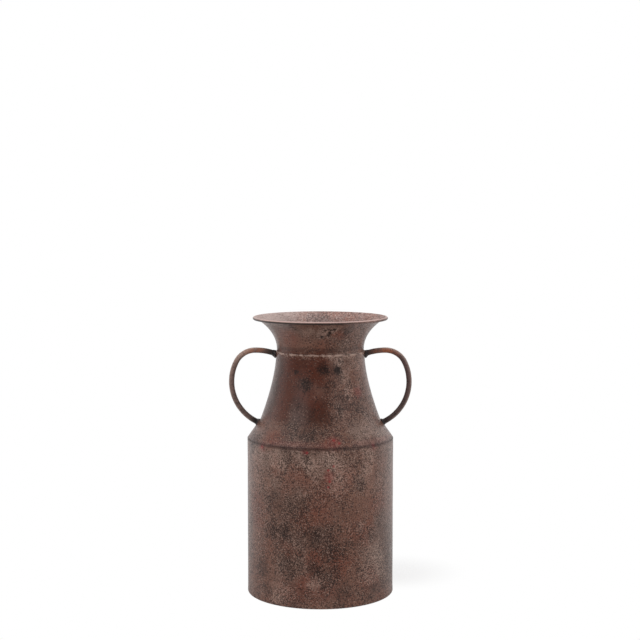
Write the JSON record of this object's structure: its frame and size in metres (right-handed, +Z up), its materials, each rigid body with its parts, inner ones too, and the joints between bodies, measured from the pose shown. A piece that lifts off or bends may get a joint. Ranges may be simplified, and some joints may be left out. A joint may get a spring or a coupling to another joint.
{
  "type": "churn vase",
  "caption": "Sheet-metal vase in the shape of a milk churn, with a conical shoulder, a trumpet mouth with a rolled rim and fixed ear handles, in a worn rust patina; holds flowers.",
  "frame": {"origin": "centre of the foot, on the surface that the vase stands on", "axes": "+Z up along the vase's axis, handles along X, the picture's viewer at -Y"},
  "size_m": [0.1982, 0.1584, 0.3],
  "materials": {
    "patina_sheet": "mauve-brown antique patina with rust-red patches, dark speckle and pale worn specks, satin",
    "copper_rod": "copper-brown rubbed patina, satin",
    "weld_metal": "blackened weld",
    "wire": "drawn wire, hidden in the rim"
  },
  "bodies": {
    "root": {"body_shell": "patina_sheet", "base_pan": "patina_sheet", "shoulder_cone": "patina_sheet", "mouth_flare": "patina_sheet", "rim_wire": "wire", "left_handle": "copper_rod", "right_handle": "copper_rod", "upper_handle_welds": "weld_metal", "lower_handle_welds": "weld_metal"}
  },
  "joints": []
}
